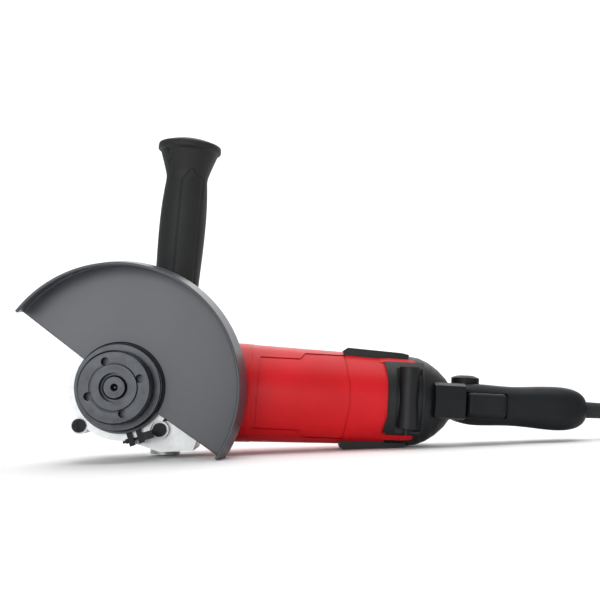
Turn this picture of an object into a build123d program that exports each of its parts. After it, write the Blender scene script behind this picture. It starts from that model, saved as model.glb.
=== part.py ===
from build123d import *
import math
import os

# A 150 mm class, tail-handle angle grinder, lying on its side at rest.
# Sub-parts are drawn in the tool's own frame and then set down on the floor plane:
#   X runs from the spindle axis back along the motor, Y points away from the wheel, Z towards the side
#   handle, and the origin is where the spindle axis crosses the motor axis.

# Driving dimensions (millimetres, degrees)
REST_TILT = 5.0  # the motor axis dips to the rear when the tool lies on its side
FLOOR_DROP = 49.4  # from the origin down to the floor
BACK = 0.05  # running clearance on a radius
SKIN_GAP = 0.3  # gap between bodies that move past each other

# Bevel gears
MODULE = 1.6
CROWN_TEETH = 33
PINION_TEETH = 11
TOOTH_FACE = 8.0
PRESSURE = 20.0
CROWN_R = MODULE * CROWN_TEETH / 2
PINION_R = MODULE * PINION_TEETH / 2
CONE = math.hypot(CROWN_R, PINION_R)
INNER_SCALE = (CONE - TOOTH_FACE) / CONE
CROWN_ADDENDUM = 0.55 * MODULE
PINION_ADDENDUM = 0.85 * MODULE
ROOT_GAP = 0.25 * MODULE
ROOT_DEPTH = 0.8  # how far each tooth is sunk into its blank
ROOT_OUT = 1.03  # the root cone runs past the teeth at both ends
ROOT_IN = 0.97 * INNER_SCALE
BACKLASH = 0.22  # taken off each flank of a crown tooth
CROWN_BACK = -20.0
CROWN_WEB = -9.5
HUB_BORE = 7.0
PINION_END = 30.0
LOCK_PIN_X = 15.5
LOCK_PIN_R = 1.9
LOCK_HOLES = 6  # a sixth of a turn apart, which is one half turn of the motor at a gear ratio of three

# Gear head
HEAD_R = 36.0
HEAD_CAVITY_R = 30.0
HEAD_CAVITY_TOP = 10.6
HEAD_FRONT = -36.0  # Y of the face that carries the bearing flange
HEAD_BACK = 26.0
NECK_R = 35.5
NECK_CAVITY_R = 27.0
NECK_END = 52.0  # X where the motor housing takes over
BOSS_X = 26.8
BOSS_REACH = 46.2
BOSS_R = 10.5
STUD_R = 4.0
STUD_DEPTH = 14.0
HANDLE_LEAN = 2.0
FLANGE_NECK_R = 28.0
FLANGE_FACE = -45.3
FLANGE_BASE = -40.0
LUG_FACE = -37.6
SCREW_CIRCLE_R = 38.6
SCREW_HEAD_R = 4.7
SCREW_R = 2.5
SCREW_HEAD_HEIGHT = 2.3
FRONT_WALL = 32.0
LOCK_SEAT_R = 8.0
SHOULDER_LOW = -33.0
SHOULDER_HIGH = 9.0
SHOULDER_R = 12.0
FLANGE_SEAT = -46.0
THREAD_GROOVES = 4
THREAD_PITCH = 2.3
LOCK_REST = HEAD_BACK + 2.0
LOCK_TRAVEL = 5.0

# Spindle, flange and nut
THREAD_R = 7.9
SPINDLE_TIP = -66.0
NUT_R = 24.3
NUT_FRONT = -68.0
NUT_BACK = -56.0
NUT_HUB_R = 16.0
NUT_RECESS_R = THREAD_R + 1.8
PIN_CIRCLE_R = 17.75
PIN_HOLE_R = 2.8
PIN_HOLE_DEPTH = 8.0
PIN_HOLE_TURN = 22.0
INNER_FLANGE_R = 28.4

# Guard
GUARD_R = 81.8
GUARD_WALL = 1.8
GUARD_FRONT = -68.0
GUARD_FLARE = 3.6  # how much wider the rim is at the plate than at its front edge
GUARD_START = -31.8
GUARD_END = 145.5
COLLAR_R = 31.0
CLAMP_ANGLE = -70.0
CLAMP_PIN_R = 0.9
CLAMP_X = COLLAR_R + 5
CLAMP_EYE_R = 1.6
CLAMP_Y = (FLANGE_FACE + GUARD_WALL + FLANGE_BASE - 0.2) / 2

# Motor
HOUSING_WALL = 3.6
STATOR_R = 30.3
STATOR_BORE = 20.2
STATOR_FRONT = 72.0
STATOR_LENGTH = 50.0
CORE_R = 19.7
SHAFT_R = 5.0
SHAFT_TIP_R = SHAFT_R - 1.5
COMMUTATOR_R = SHAFT_R + 6.5
COMMUTATOR_FRONT = 134.0
COMMUTATOR_LENGTH = 16.0
FAN_R = 26.0
HOUSING_END = 181.0
SEAM_Z = 2.6  # the parting plane of the rear cover and of the rear handle
REAR_WALL = 157.5
HOUSING_REAR_R = 26.5
FINGER_END = 197.5
FINGER_HALF = 2.7
FINGER_INNER_R = 29.9
FINGER_TURN = {1: -59.0, -1: -52.0}
POLE_ROOT_R = 25.8
POLE_HALF = 50.0
SLOTS = 14
FAN_X = 46.0
BRUSH_X = (139.0, 147.0)
BRUSH_HALF = 2.5

# Bearings: bore radius, outer radius, width, position of the low end along the shaft
SPINDLE_BEARING = (7.5, 17.5, 11.0, -39.0)
NOSE_BEARING = (4.0, 11.0, 7.0, 11.0)
FRONT_BEARING = (SHAFT_R, SHAFT_R + 8.0, 8.0, 33.0)
REAR_BEARING = (SHAFT_R - 1.0, SHAFT_R + 6.0, 7.0, 158.0)

# Rear cover and handle
COVER_WALL = 2.6
SWIVEL_R = 10.0
HANDLE_DEPTH = 19.5
TRIGGER_FRONT = 236.5
TRIGGER_REAR = 264.5
TRIGGER_SWING = 1.7  # room for the front of the trigger as it swings
TRIGGER_HALF = 8.2
BUTTON_X = 238.4
BUTTON_R = 10.4
RELIEF_START = 320.0
RELIEF_END = 346.0
DOME = [(194.5, 32.2), (204.0, 30.8), (211.0, 27.8), (217.5, 23.4), (223.5, 17.6), (227.5, 12.0)]
BRACKET_R = 33.4
BRACKET_LOW = -22.4
BRACKET_HIGH = 27.0
BRACKET_ARC_R = 86.0
BRACKET_EDGE = 181.8
PILLAR_X = 195.6
PILLAR_Y = -27.2
PILLAR_R = 7.0
PILLAR_LOW = -18.6
PILLAR_HIGH = 23.6
SWIVEL_WALL = 220.5
PAD_FRONT = 150.0
PAD_REAR = 196.0
PAD_HALF = 13.0
PAD_EASE = 0.06
HANDLE_SECTIONS = [
    (230.5, 15.5, 12.0, 7.0), (247.0, HANDLE_DEPTH, 14.5, 9.0), (278.0, 18.5, 14.0, 10.0),
    (304.0, HANDLE_DEPTH, 15.2, 11.0), (317.0, 16.0, 12.6, 10.0), (323.0, 9.5, 8.0, 6.5),
]
COLLAR_FRONT = 215.5
PIN_X = 260.5
PIN_Y = -13.5
PIN_R = 2.0
SCREW_POSTS = ((306.0, 0.0), (240.5, 11.5))
NOSE_FRONT = 213.5
NOSE_REAR = 234.6
BUTTON_POCKET = 10.6
BUTTON_STEM_R = 5.0
BUTTON_STEM_LOW = 5.2
BUTTON_TRAVEL = 2.2
BUTTON_CAP_LOW = 13.2

# Cord
CORD_R = 4.0
COIL_MEAN_R = 44.0
COIL_WIDTH = 24.0
COIL_HEIGHT = 22.0
# The cord's route on the floor frame: X from the spindle, Y away from the wheel, Z up from the floor.
CORD_ROUTE = [
    (344.8, 0.0, 19.24), (366.0, 0.0, 17.2), (389.0, 5.0, 11.0), (415.0, 18.0, 5.5), (440.0, 29.5, 4.0),
    (465.2, 32.0, 4.0),
]
COIL_TURN_R = COIL_MEAN_R + 8.0
COIL_CENTRE = (CORD_ROUTE[-1][0] + 20.8, CORD_ROUTE[-1][1] - COIL_TURN_R)
PLUG_LENGTH = 42.0
PLUG_R = 13.0

# Side handle
NECK_TOP = 107.0
RIM_R = 22.8
RIM_LOW = 126.0
INLAY_LEFT = -1.4
INLAY_RIGHT = 13.0
INLAY_LINE = 0.9
INLAY_DEPTH = 0.7


def cyl_x(radius, x0, x1, y=0.0, z=0.0):
    """A cylinder along X between x0 and x1."""
    return Pos((x0 + x1) / 2, y, z) * Rot(0, 90, 0) * Cylinder(radius, x1 - x0)


def cyl_y(radius, y0, y1, x=0.0, z=0.0):
    """A cylinder along Y between y0 and y1."""
    return Pos(x, (y0 + y1) / 2, z) * Rot(90, 0, 0) * Cylinder(radius, y1 - y0)


def cyl_z(radius, z0, z1, x=0.0, y=0.0):
    """A cylinder along Z between z0 and z1."""
    return Pos(x, y, (z0 + z1) / 2) * Cylinder(radius, z1 - z0)


def block(x0, x1, y0, y1, z0, z1):
    """A box between two corners."""
    return Pos((x0 + x1) / 2, (y0 + y1) / 2, (z0 + z1) / 2) * Box(x1 - x0, y1 - y0, z1 - z0)


def lathe_x(points):
    """A solid of revolution about X from (x, radius) points, closed along the axis where it needs to be."""
    outline = Polyline(*[(x, 0, r) for x, r in points], close=True)
    return revolve(make_face(outline), Axis.X)


def lathe_y(points):
    """A solid of revolution about Y from (y, radius) points."""
    outline = Polyline(*[(r, y, 0) for y, r in points], close=True)
    return revolve(make_face(outline), Axis.Y)


def polar(radius, degrees):
    """X and Z of a point at an angle from +X towards +Z about the spindle axis."""
    return radius * math.cos(math.radians(degrees)), radius * math.sin(math.radians(degrees))


def sector_y(r_in, r_out, y0, y1, start, end):
    """An annular sector about the spindle axis, from start to end degrees, between two Y planes."""
    middle = (start + end) / 2
    a, b, c = (polar(r_out, t) for t in (start, middle, end))
    d, e, f = (polar(r_in, t) for t in (end, middle, start))
    outer = ThreePointArc((a[0], y0, a[1]), (b[0], y0, b[1]), (c[0], y0, c[1]))
    inner = ThreePointArc((d[0], y0, d[1]), (e[0], y0, e[1]), (f[0], y0, f[1]))
    side_a = Line((c[0], y0, c[1]), (d[0], y0, d[1]))
    side_b = Line((f[0], y0, f[1]), (a[0], y0, a[1]))
    return extrude(make_face(outer + side_a + inner + side_b), amount=y1 - y0, dir=(0, 1, 0))


def sector_x(r_in, r_out, x0, x1, start, end):
    """An annular sector about the motor axis; angles run from +Y towards +Z."""
    middle = (start + end) / 2
    a, b, c = (polar(r_out, t) for t in (start, middle, end))
    d, e, f = (polar(r_in, t) for t in (end, middle, start))
    outer = ThreePointArc((x0, a[0], a[1]), (x0, b[0], b[1]), (x0, c[0], c[1]))
    inner = ThreePointArc((x0, d[0], d[1]), (x0, e[0], e[1]), (x0, f[0], f[1]))
    side_a = Line((x0, c[0], c[1]), (x0, d[0], d[1]))
    side_b = Line((x0, f[0], f[1]), (x0, a[0], a[1]))
    return extrude(make_face(outer + side_a + inner + side_b), amount=x1 - x0, dir=(1, 0, 0))


def single(shape):
    """The largest solid of a shape."""
    return max(shape.solids(), key=lambda s: s.volume)


# Bevel gears ---------------------------------------------------------------------------------------------

def involute(angle):
    """The involute function of an angle in radians."""
    return math.tan(angle) - angle


def tooth_outline(virtual_r, half_thickness, addendum, dedendum, steps):
    """Half outline (t, h) of an involute tooth on its back cone, root to tip; h is measured from pitch."""
    base_r = virtual_r * math.cos(math.radians(PRESSURE))
    pitch_half = half_thickness / virtual_r + involute(math.radians(PRESSURE))
    points = []
    low = -dedendum
    for i in range(steps + 1):
        h = low + (addendum - low) * i / steps
        rho = virtual_r + h
        turn = involute(math.acos(base_r / rho)) if rho > base_r else 0.0
        half = pitch_half - turn
        points.append((rho * math.sin(half), rho * math.cos(half) - virtual_r))
    return points


def bevel_tooth(along, radial, across, half_outline):
    """A straight bevel tooth: its outer section and the same section shrunk towards the apex, joined."""
    flank = half_outline + [(-t, h) for t, h in reversed(half_outline)]

    def section(scale):
        points = [
            tuple(scale * (along[k] * CONE + radial[k] * h + across[k] * t) for k in range(3))
            for t, h in flank
        ]
        return make_face(Polyline(*points, close=True))

    return loft([section(1.0), section(INNER_SCALE)], ruled=True)


def make_crown_gear():
    """The crown gear on the spindle, teeth towards +Y, with a hub, a bore and the lock's pin holes."""
    ux, uy = CROWN_R / CONE, -PINION_R / CONE
    nx, ny = PINION_R / CONE, CROWN_R / CONE
    dedendum = PINION_ADDENDUM + ROOT_GAP
    root = (CROWN_R - nx * dedendum, -PINION_R - ny * dedendum)
    outer = (root[0] * ROOT_OUT, root[1] * ROOT_OUT)
    inner = (root[0] * ROOT_IN, root[1] * ROOT_IN)
    blank = lathe_y([
        (CROWN_BACK, HUB_BORE),
        (CROWN_BACK, outer[0] - 1.5),
        (outer[1] - 2.0, outer[0] + 0.8),
        (outer[1], outer[0]),
        (inner[1], inner[0]),
        (CROWN_WEB, inner[0] - 0.6),
        (CROWN_WEB, HUB_BORE),
    ])
    virtual_r = CROWN_R * CONE / PINION_R
    thickness = math.pi * MODULE / 4 - BACKLASH
    half = tooth_outline(virtual_r, thickness, CROWN_ADDENDUM, dedendum + ROOT_DEPTH, 3)
    tooth = bevel_tooth((ux, uy, 0), (nx, ny, 0), (0, 0, 1), half)
    teeth = [Rot(0, (i + 0.5) * 360 / CROWN_TEETH, 0) * tooth for i in range(CROWN_TEETH)]
    gear = blank + teeth
    for i in range(LOCK_HOLES):
        x, z = polar(LOCK_PIN_X, 180 + i * 360 / LOCK_HOLES)
        gear -= cyl_y(LOCK_PIN_R + 0.35, CROWN_BACK - 1, CROWN_WEB + 1, x, z)
    return single(gear)


def make_pinion():
    """The pinion on the armature shaft, a tooth pointing at the crown gear."""
    ux, uy = CROWN_R / CONE, -PINION_R / CONE
    nx, ny = -PINION_R / CONE, -CROWN_R / CONE
    dedendum = CROWN_ADDENDUM + ROOT_GAP
    root = (CROWN_R - nx * dedendum, PINION_R + ny * dedendum)
    outer = (root[0] * ROOT_OUT, root[1] * ROOT_OUT)
    inner = (root[0] * ROOT_IN, root[1] * ROOT_IN)
    blank = lathe_x([
        (inner[0], SHAFT_TIP_R),
        (inner[0], inner[1]),
        (outer[0], outer[1]),
        (PINION_END, outer[1]),
        (PINION_END, SHAFT_TIP_R),
    ])
    virtual_r = PINION_R * CONE / CROWN_R
    half = tooth_outline(virtual_r, math.pi * MODULE / 4, PINION_ADDENDUM, dedendum + ROOT_DEPTH, 6)
    tooth = bevel_tooth((ux, uy, 0), (nx, ny, 0), (0, 0, 1), half)
    teeth = [Rot(i * 360 / PINION_TEETH, 0, 0) * tooth for i in range(PINION_TEETH)]
    return single(blank + teeth)


# Bearings ------------------------------------------------------------------------------------------------

def bearing(sizes, lathe, turn):
    """Outer ring with its balls, and the inner ring, of a deep-groove ball bearing."""
    bore, outside, width, low = sizes
    middle = (bore + outside) / 2
    ball = (outside - bore) * 0.27
    land = (outside - bore) * 0.2
    high = low + width
    centre = low + width / 2
    outer = lathe([(low, middle + land), (low, outside), (high, outside), (high, middle + land)])
    inner = lathe([(low, bore), (low, middle - land), (high, middle - land), (high, bore)])
    inner -= lathe_groove(lathe, centre, middle, ball + BACK)
    count = int(2 * math.pi * middle / (ball * 2.9))
    for i in range(count):
        outer += turn(i * 360 / count, centre, middle) * Sphere(ball)
    return single(outer), single(inner)


def lathe_groove(lathe, centre, middle, radius):
    """The torus that the balls sweep, a little larger than the balls."""
    torus = Torus(middle, radius)
    if lathe is lathe_x:
        return Pos(centre, 0, 0) * Rot(0, 90, 0) * torus
    return Pos(0, centre, 0) * Rot(90, 0, 0) * torus


def around_x(angle, centre, radius):
    """Place of a ball about the motor axis."""
    return Rot(angle, 0, 0) * Pos(centre, 0, radius)


def around_y(angle, centre, radius):
    """Place of a ball about the spindle axis."""
    return Rot(0, angle, 0) * Pos(0, centre, radius)


# Gear head -----------------------------------------------------------------------------------------------

def stud_frame():
    """The frame of the fitted side handle: on the upper boss face, leaning back a little."""
    return Pos(BOSS_X, 0, BOSS_REACH) * Rot(0, HANDLE_LEAN, 0)


def make_gear_housing():
    """The cast gear head: a drum about the spindle, a neck back to the motor and two handle bosses."""
    drum = lathe_y([
        (HEAD_FRONT, 0), (HEAD_FRONT, HEAD_R), (HEAD_BACK - 12, HEAD_R), (HEAD_BACK - 4, HEAD_R - 5),
        (HEAD_BACK, HEAD_R - 14), (HEAD_BACK + 2, 0),
    ])
    body = drum + cyl_x(NECK_R, 0, NECK_END)
    body += cyl_z(BOSS_R, -BOSS_REACH, BOSS_REACH, BOSS_X) + make_shoulder(1) + make_shoulder(-1)
    body += cyl_y(LOCK_SEAT_R, HEAD_BACK - 8, HEAD_BACK + 4, -LOCK_PIN_X)
    for i in range(4):
        x, z = polar(SCREW_CIRCLE_R, 45 + 90 * i)
        body += cyl_y(6.0, HEAD_FRONT, HEAD_FRONT + 22, x, z)
    body -= cyl_y(HEAD_CAVITY_R, HEAD_FRONT - 1, HEAD_CAVITY_TOP)
    body -= cyl_x(NECK_CAVITY_R, 0, FRONT_WALL) & block(0, FRONT_WALL, -40, HEAD_CAVITY_TOP, -40, 40)
    body -= cyl_x(NECK_CAVITY_R + 2, FRONT_BEARING[3] + FRONT_BEARING[2], NECK_END + 1)
    body -= cyl_x(FRONT_BEARING[1], FRONT_WALL - 1, NECK_END)
    body -= cyl_y(NOSE_BEARING[1], HEAD_CAVITY_TOP - 1, NOSE_BEARING[3] + NOSE_BEARING[2])
    body -= cyl_y(LOCK_PIN_R + 0.1, HEAD_CAVITY_TOP - 1, HEAD_BACK + 5, -LOCK_PIN_X)
    body -= cyl_y(LOCK_SEAT_R - 1.5, HEAD_BACK - 4, HEAD_BACK + 5, -LOCK_PIN_X)
    hole = cyl_z(STUD_R, -STUD_DEPTH, 1)
    body -= stud_frame() * (hole + cyl_z(2 * BOSS_R, 0, 5))
    body -= Pos(BOSS_X, 0, -BOSS_REACH) * Rot(180, 0, 0) * hole
    for i in range(4):
        x, z = polar(SCREW_CIRCLE_R, 45 + 90 * i)
        body -= cyl_y(SCREW_R, HEAD_FRONT - 1, HEAD_FRONT + 14, x, z)
    return single(body)


def make_shoulder(sign):
    """The web that carries a handle boss, sweeping from the drum's edge back along the neck."""
    outline = [(-20, 25), (-10, 34.4), (14, 38.6), (27, 42.6), (50, 40.6), (NECK_END, 34), (NECK_END, 20)]
    face = make_face(Polyline(*[(x, SHOULDER_LOW, sign * z) for x, z in outline], close=True))
    return extrude(face, amount=SHOULDER_HIGH - SHOULDER_LOW, dir=(0, 1, 0))


def make_bearing_flange():
    """The plate that closes the gear head, seats the spindle bearing and carries the guard's collar."""
    plate = cyl_y(HEAD_R, FLANGE_BASE, HEAD_FRONT) + cyl_y(FLANGE_NECK_R, FLANGE_FACE, FLANGE_BASE)
    plate += cyl_y(HEAD_CAVITY_R - 0.1, HEAD_FRONT, HEAD_FRONT + 8)
    for i in range(4):
        x, z = polar(SCREW_CIRCLE_R, 45 + 90 * i)
        plate += cyl_y(6.0, LUG_FACE, HEAD_FRONT, x, z)
        plate -= cyl_y(6.0, FLANGE_BASE - 1, LUG_FACE, x, z)
        plate -= cyl_y(SCREW_R, FLANGE_BASE - 1, HEAD_FRONT + 1, x, z)
    bore, outside, width, low = SPINDLE_BEARING
    plate -= cyl_y(outside, low, HEAD_FRONT + 9)
    plate -= cyl_y(SHOULDER_R + SKIN_GAP, FLANGE_FACE - 1, low + 1)
    return single(plate)


def make_flange_screw(index):
    """A pan-head screw with a cross recess, in one of the flange's four lugs."""
    x, z = polar(SCREW_CIRCLE_R, 45 + 90 * index)
    screw = cyl_y(SCREW_R, LUG_FACE, HEAD_FRONT + 13, x, z)
    screw += cyl_y(SCREW_HEAD_R, LUG_FACE - SCREW_HEAD_HEIGHT, LUG_FACE, x, z)
    slot = block(-3, 3, -0.8, 0.8, -0.7, 0.7) + block(-0.7, 0.7, -0.8, 0.8, -3, 3)
    screw -= Pos(x, LUG_FACE - SCREW_HEAD_HEIGHT, z) * Rot(0, 20 + 31 * index, 0) * slot
    return single(screw)


def make_spindle():
    """The output spindle: thread end with a centre hole, shoulder, bearing seats and the gear seat."""
    bore, outside, width, low = SPINDLE_BEARING
    nose_bore, nose_out, nose_width, nose_low = NOSE_BEARING
    steps = [
        (THREAD_R, SPINDLE_TIP, FLANGE_SEAT), (SHOULDER_R, FLANGE_SEAT, low), (bore, low, low + width),
        (9.0, low + width, CROWN_BACK), (HUB_BORE, CROWN_BACK, CROWN_WEB), (8.5, CROWN_WEB, CROWN_WEB + 2),
        (5.5, CROWN_WEB + 2, nose_low), (nose_bore, nose_low, nose_low + nose_width - 0.5),
    ]
    shaft = cyl_y(steps[0][0], steps[0][1], steps[0][2])
    for radius, y0, y1 in steps[1:]:
        shaft += cyl_y(radius, y0, y1)
    shaft = chamfer(shaft.edges().filter_by(GeomType.CIRCLE).sort_by(Axis.Y)[0], 1.0)
    shaft -= Pos(0, SPINDLE_TIP + 1.5, 0) * Rot(90, 0, 0) * Cone(0.6, 2.6, 3.2)
    for i in range(THREAD_GROOVES):
        y = SPINDLE_TIP + 2.4 + i * THREAD_PITCH
        shaft -= cyl_y(THREAD_R + 1, y, y + 0.7) - cyl_y(THREAD_R - 0.7, y - 1, y + 2)
    return single(shaft)


def make_inner_flange():
    """The inner wheel flange, seated on the spindle's shoulder."""
    flange = lathe_y([
        (FLANGE_SEAT, THREAD_R + BACK), (FLANGE_SEAT, 20.0), (FLANGE_SEAT - 4, INNER_FLANGE_R),
        (NUT_BACK + 1.2, INNER_FLANGE_R), (NUT_BACK + 1.2, 20.5), (NUT_BACK, 19.5),
        (NUT_BACK, THREAD_R + BACK),
    ])
    return single(flange)


def make_locking_nut():
    """The locking nut: a drum with a raised hub, a recess round the spindle tip and four spanner holes."""
    nut = lathe_y([
        (NUT_BACK, THREAD_R + BACK), (NUT_BACK, NUT_R - 0.6), (NUT_BACK - 0.6, NUT_R),
        (NUT_FRONT + 2.0, NUT_R), (NUT_FRONT + 0.6, NUT_R - 1.2), (NUT_FRONT + 0.6, NUT_HUB_R + 0.4),
        (NUT_FRONT + 1.4, NUT_HUB_R + 0.2), (NUT_FRONT + 1.4, NUT_HUB_R - 0.4),
        (NUT_FRONT, NUT_HUB_R - 1.0), (NUT_FRONT, NUT_RECESS_R),
        (NUT_FRONT + 5, NUT_RECESS_R), (NUT_FRONT + 5, THREAD_R + BACK),
    ])
    for i in range(4):
        x, z = polar(PIN_CIRCLE_R, PIN_HOLE_TURN + i * 90)
        nut -= cyl_y(PIN_HOLE_R, NUT_FRONT - 1, NUT_FRONT + PIN_HOLE_DEPTH, x, z)
    return single(nut)


def make_lock_button():
    """The spindle lock: a round button on the head's back with a pin that enters the crown gear."""
    cap = cyl_y(LOCK_SEAT_R - 2.0, LOCK_REST, LOCK_REST + 4.5, -LOCK_PIN_X)
    cap = fillet(cap.edges().filter_by(GeomType.CIRCLE).sort_by(Axis.Y)[-1], 1.5)
    return single(cap + cyl_y(LOCK_PIN_R, CROWN_WEB + 1.5, LOCK_REST, -LOCK_PIN_X))


# Guard ---------------------------------------------------------------------------------------------------

def make_guard_shell():
    """The pressed guard: a half disc, its flared rim and the ring that turns on the flange's neck."""
    plate_back = FLANGE_FACE + GUARD_WALL
    wide = GUARD_R + GUARD_FLARE
    sheet = [
        (COLLAR_R - 1.5, FLANGE_FACE), (wide - GUARD_WALL - 0.6, FLANGE_FACE),
        (GUARD_R - GUARD_WALL, GUARD_FRONT), (GUARD_R, GUARD_FRONT),
        (wide, FLANGE_FACE), (wide - 1.2, plate_back), (COLLAR_R - 1.5, plate_back),
    ]
    face = make_face(Polyline(*[(r, y, 0) for r, y in sheet], close=True))
    shell = revolve(Rot(0, -GUARD_START, 0) * face, Axis.Y, revolution_arc=GUARD_START - GUARD_END)
    ring = cyl_y(COLLAR_R, FLANGE_FACE, plate_back)
    ring -= cyl_y(FLANGE_NECK_R + SKIN_GAP, FLANGE_FACE - 1, plate_back + 1)
    underfoot = block(-100, 150, -90, 0, -FLOOR_DROP - 40, -FLOOR_DROP + 0.2)
    return single(shell + ring - Rot(0, -REST_TILT, 0) * underfoot)


def make_guard_collar():
    """The split band that clamps round the flange neck, with two ears for the clamp screw."""
    low = FLANGE_FACE + GUARD_WALL
    high = FLANGE_BASE - 0.2
    band = cyl_y(COLLAR_R - 1.0, low, high) - cyl_y(FLANGE_NECK_R + BACK, low - 1, high + 1)
    ears = block(COLLAR_R - 1.5, COLLAR_R + 9, low, high, -5.0, 5.0)
    slit = block(FLANGE_NECK_R - 2, COLLAR_R + 12, low - 1, high + 1, -1.5, 1.5)
    hole = cyl_z(CLAMP_PIN_R, -20, 20, CLAMP_X, CLAMP_Y)
    return single(Rot(0, -CLAMP_ANGLE, 0) * (band + ears - slit - hole))


def make_clamp_screw():
    """The screw across the clamp's ears, with a hexagonal head and a nut end."""
    pin = cyl_z(CLAMP_PIN_R, -9.0, 12.0, CLAMP_X, CLAMP_Y)
    head = Pos(CLAMP_X, CLAMP_Y, -7.0) * extrude(RegularPolygon(CLAMP_EYE_R, 6), amount=2.0)
    return single(Rot(0, -CLAMP_ANGLE, 0) * (pin + head))


def make_clamp_lever():
    """The over-centre lever of the clamp, folded along the band, with an eye round the clamp screw."""
    x = CLAMP_X
    eye = cyl_z(CLAMP_EYE_R, 5.3, 9.0, x, CLAMP_Y) - cyl_z(CLAMP_PIN_R + BACK, 0, 20, x, CLAMP_Y)
    arm = block(x - 1.6, x + 1.6, CLAMP_Y - 12.0, CLAMP_Y - 2.0, 5.3, 9.0)
    tab = block(x - 2.6, x + 2.6, CLAMP_Y - 14.5, CLAMP_Y - 11.5, 5.3, 14.0)
    return single(Rot(0, -CLAMP_ANGLE, 0) * (eye + arm + tab))


# Side handle ---------------------------------------------------------------------------------------------

def make_side_handle_stud():
    """The steel stud of the side handle, screwed into the upper boss."""
    stud = cyl_z(STUD_R - BACK, -STUD_DEPTH + 1, 4.0) + cyl_z(STUD_R, 4.0, 40.0)
    return single(stud_frame() * stud)


def grip_solid(inset):
    """The grip's outside turned about its stud: base, swelling grip, neck, straight flare, rim and dome."""
    base = Polyline((0, 0, 0), (14.2 - inset, 0, 0), (15.0 - inset, 0, 3))
    waist = [(15.0, 3), (15.7, 32), (16.7, 64), (16.4, 87), (14.7, NECK_TOP)]
    swell = Spline(*[(r - inset, 0, z) for r, z in waist], tangents=((0.03, 0, 1), (-0.06, 0, 1)))
    flare = Polyline(
        (14.7 - inset, 0, NECK_TOP), (17.0 - inset, 0, NECK_TOP + 7), (RIM_R - 1.8 - inset, 0, RIM_LOW),
        (RIM_R - inset, 0, RIM_LOW + 0.4), (RIM_R - inset, 0, RIM_LOW + 5 - inset))
    crown = ThreePointArc(
        (RIM_R - inset, 0, RIM_LOW + 5 - inset),
        (12, 0, RIM_LOW + 9 - inset),
        (2, 0, RIM_LOW + 10.4 - inset))
    closing = Polyline((2, 0, RIM_LOW + 10.4 - inset), (0, 0, RIM_LOW + 10.4 - inset), (0, 0, 0))
    return revolve(make_face(base + swell + flare + crown + closing), Axis.Z)


def inlay_groove():
    """The outline of the soft inlay on the wheel side of the grip: two long lines and a pointed top."""
    corners = [
        (INLAY_LEFT, 16), (INLAY_LEFT, 104), (5.8, 111.5), (INLAY_RIGHT, 105), (INLAY_RIGHT, 16),
    ]
    lines = []
    for (x0, z0), (x1, z1) in zip(corners, corners[1:]):
        length = math.hypot(x1 - x0, z1 - z0)
        turn = math.degrees(math.atan2(x1 - x0, z1 - z0))
        bar = Box(INLAY_LINE, 40, length + INLAY_LINE)
        lines.append(Pos((x0 + x1) / 2, -20, (z0 + z1) / 2) * Rot(0, turn, 0) * bar)
    return lines[0] + lines[1:]


def make_side_handle_grip():
    """The moulded grip with its inlay outline and a slot in each of two sides of the flare."""
    grip = grip_solid(0)
    grip -= inlay_groove() - grip_solid(INLAY_DEPTH)
    grip -= cyl_z(STUD_R, -1, 40.0)
    for angle in (-134, 46):
        grip -= Rot(0, 0, angle) * block(16.8, 26, -1.6, 1.6, NECK_TOP + 2, RIM_LOW - 1)
    return single(stud_frame() * grip)


# Motor ---------------------------------------------------------------------------------------------------

def housing_radius(x):
    """Outer radius of the tapering motor housing at a distance back from the spindle."""
    return 35.6 - (x - NECK_END) * 0.0305


def make_motor_housing():
    """The red moulded housing: a tapering barrel with a side panel, and the rear bearing's spider."""
    step = 86.0
    body = lathe_x([
        (NECK_END, 0), (NECK_END, housing_radius(NECK_END) + 0.3), (step, housing_radius(step) + 0.3),
        (step + 0.8, housing_radius(step)), (HOUSING_END, housing_radius(HOUSING_END)), (HOUSING_END, 0),
    ])
    body -= cyl_x(STATOR_R, NECK_END - 1, REAR_WALL)
    body -= cyl_x(REAR_BEARING[1], REAR_WALL - 1, REAR_BEARING[3] + REAR_BEARING[2])
    body -= cyl_x(SHAFT_R + 2, REAR_WALL - 1, HOUSING_END + 1)
    body -= cyl_x(HOUSING_REAR_R, REAR_WALL + 9, HOUSING_END + 1)
    for i in range(4):
        start = 20 + 90 * i
        window = (REAR_BEARING[1] + 3, STATOR_R - 3, REAR_WALL - 1, REAR_WALL + 10)
        body -= sector_x(*window, start, start + 50)
    for sign in (-1, 1):
        body += finger(sign)
    body -= panel_groove()
    return single(body)


def finger(sign):
    """A round-ended tongue of the housing that reaches over the rear cover, beside a pad."""
    return tongue_bar(sign, FINGER_HALF) & finger_skin(0.35)


def tongue_bar(sign, half):
    """A flat bar with a round end, laid along the motor axis and turned to its place beside a pad."""
    bar = block(HOUSING_END - 6, FINGER_END, -40, 0, -half, half) + cyl_y(half, -40, 0, FINGER_END, 0)
    return Rot(sign * FINGER_TURN[sign], 0, 0) * bar


def finger_skin(proud):
    """The shell that a tongue is cut from: it follows the cover's dome and stands a little proud of it."""
    return lathe_x([
        (HOUSING_END - 8, FINGER_INNER_R), (HOUSING_END - 8, housing_radius(HOUSING_END - 8)),
        (HOUSING_END, 32.4 + proud), (DOME[0][0], DOME[0][1] + proud), (DOME[1][0], DOME[1][1] + proud),
        (DOME[1][0], FINGER_INNER_R),
    ])


def panel_groove():
    """The shallow groove that outlines the side panel on the wheel side of the housing."""
    skin = lathe_x([
        (80, housing_radius(80) - 0.7), (80, 40), (165, 40), (165, housing_radius(165) - 0.7),
    ])
    return (panel_block(0) - panel_block(1)) & skin


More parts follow.
